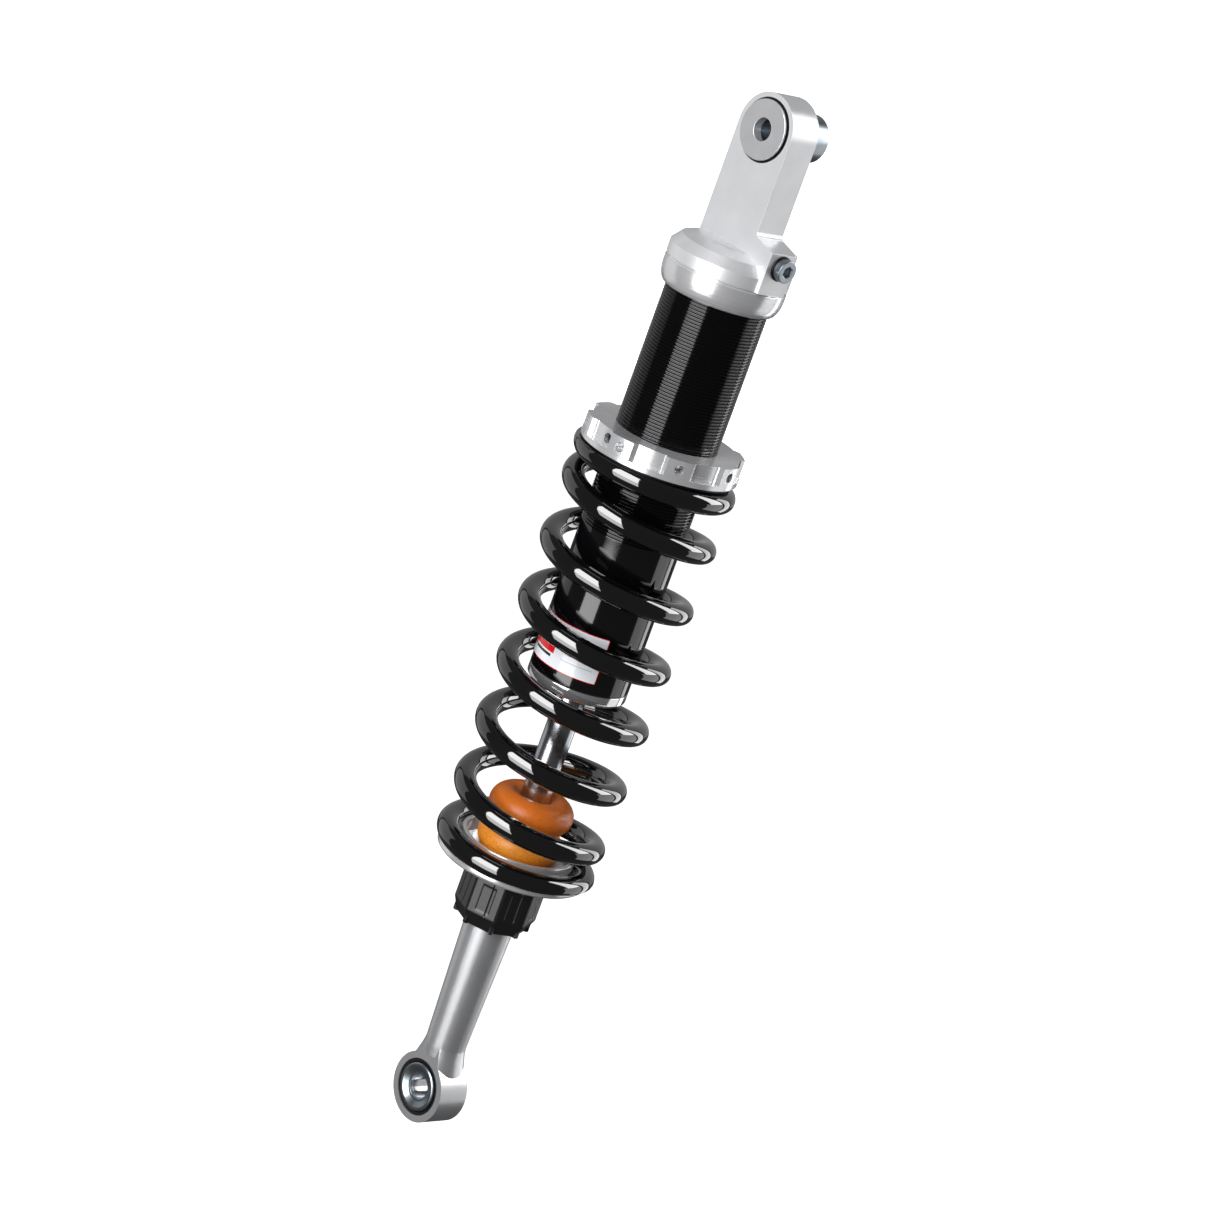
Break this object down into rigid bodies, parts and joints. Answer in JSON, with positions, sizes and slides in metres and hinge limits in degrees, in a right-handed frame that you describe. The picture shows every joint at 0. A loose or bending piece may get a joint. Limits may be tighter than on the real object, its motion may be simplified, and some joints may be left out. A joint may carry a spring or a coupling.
{
  "type": "rear shock absorber",
  "caption": "Coil-over monotube rear shock with eye mounts, a threaded spring preload ring, a rebound knob and a bump stop on its rod.",
  "frame": {"origin": "centre of the lower bolt bore", "axes": "+Z from the lower bolt to the upper bolt, +Y along both bolts towards the long rear spacer, +X towards the gas valve"},
  "size_m": [0.0785, 0.0782, 0.5136],
  "materials": {
    "machined_aluminium": "turned and tumbled, satin",
    "black_enamel": "gloss stove enamel",
    "rubber": "moulded nitrile, matt",
    "printed_film": "silvered printed film",
    "bronze": "sintered, oiled",
    "blackened_steel": "black oxide",
    "bright_steel": "ground and polished",
    "zinc_plated_steel": "bright zinc plate",
    "slide_band": "filled fluoropolymer",
    "black_nylon": "moulded, fine texture",
    "hard_chrome": "ground and hard chromed",
    "orange_urethane": "moulded microcellular urethane"
  },
  "bodies": {
    "damper": {"upper_head": "machined_aluminium", "head_lock_ring": "machined_aluminium", "head_oring": "rubber", "damper_tube": "black_enamel", "tube_end_ring": "machined_aluminium", "body_label": "printed_film", "rod_guide": "machined_aluminium", "guide_bush": "bronze", "guide_oring": "rubber", "guide_circlip": "blackened_steel", "rod_seal": "rubber", "rod_wiper": "rubber", "gas_valve_screw": "bright_steel", "gas_valve_washer": "bright_steel", "upper_race": "bright_steel", "upper_circlips": "blackened_steel", "upper_front_seal": "rubber", "upper_rear_seal": "rubber", "spring": "black_enamel"},
    "upper_bearing": {"upper_ball": "bright_steel", "upper_front_spacer": "machined_aluminium", "upper_rear_spacer": "zinc_plated_steel"},
    "gas_piston": {"floating_piston": "machined_aluminium", "floating_piston_seal": "rubber", "floating_piston_band": "slide_band"},
    "washer": {"thrust_washer": "black_nylon"},
    "collar": {"preload_ring": "machined_aluminium", "ring_lock_screw": "blackened_steel"},
    "rod": {"piston_rod": "hard_chrome", "damping_piston": "machined_aluminium", "piston_band": "slide_band", "rebound_shims": "blackened_steel", "compression_shims": "blackened_steel", "piston_nut": "blackened_steel", "top_out_bumper": "rubber", "bump_stop": "orange_urethane", "lower_spring_seat": "zinc_plated_steel", "seat_collar": "blackened_steel", "detent_ball": "bright_steel", "detent_spring": "blackened_steel", "lower_eye_shaft": "machined_aluminium", "lower_race": "bright_steel", "lower_circlips": "blackened_steel", "lower_front_seal": "rubber", "lower_rear_seal": "rubber"},
    "knob": {"rebound_knob": "black_nylon"},
    "needle": {"rebound_needle": "bright_steel", "adjuster_cross_pin": "blackened_steel"},
    "lower_bearing": {"lower_ball": "bright_steel", "lower_front_bush": "zinc_plated_steel", "lower_rear_bush": "zinc_plated_steel"}
  },
  "joints": [
    {"name": "compression", "type": "slide", "parent": "damper", "child": "rod", "axis": [0, 0, 1], "range_m": [0, 0.065], "stiffness_N_per_m": 85000, "springref_m": -0.012, "deforming": ["spring", "bump_stop"]},
    {"name": "gas_piston_slide", "type": "slide", "parent": "damper", "child": "gas_piston", "axis": [0, 0, 1], "range_m": [0, 0.008]},
    {"name": "preload", "type": "slide", "parent": "damper", "child": "washer", "axis": [0, 0, 1], "range_m": [-0.012, 0.003], "deforming": ["spring"]},
    {"name": "preload_turn", "type": "hinge", "parent": "washer", "child": "collar", "pos_m": [0, 0, 0.3307], "axis": [0, 0, 1], "range_deg": [-2880, 720]},
    {"name": "rebound_click", "type": "hinge", "parent": "rod", "child": "knob", "pos_m": [0, 0, 0.1024], "axis": [0, 0, 1], "range_deg": [0, 660]},
    {"name": "needle_slide", "type": "slide", "parent": "rod", "child": "needle", "axis": [0, 0, 1], "range_m": [0, 0.00276]},
    {"name": "upper_swivel", "type": "hinge", "parent": "damper", "child": "upper_bearing", "pos_m": [0, 0, 0.48], "axis": [0, 1, 0], "continuous": true},
    {"name": "lower_swivel", "type": "hinge", "parent": "rod", "child": "lower_bearing", "pos_m": [0, 0, 0], "axis": [0, 1, 0], "continuous": true}
  ],
  "couplings": [
    {"joint": "preload", "follows": "preload_turn", "m_per_rad": 0.0002387},
    {"joint": "needle_slide", "follows": "rebound_click", "m_per_rad": 0.00023873},
    {"joint": "gas_piston_slide", "follows": "compression", "ratio": 0.1225}
  ]
}
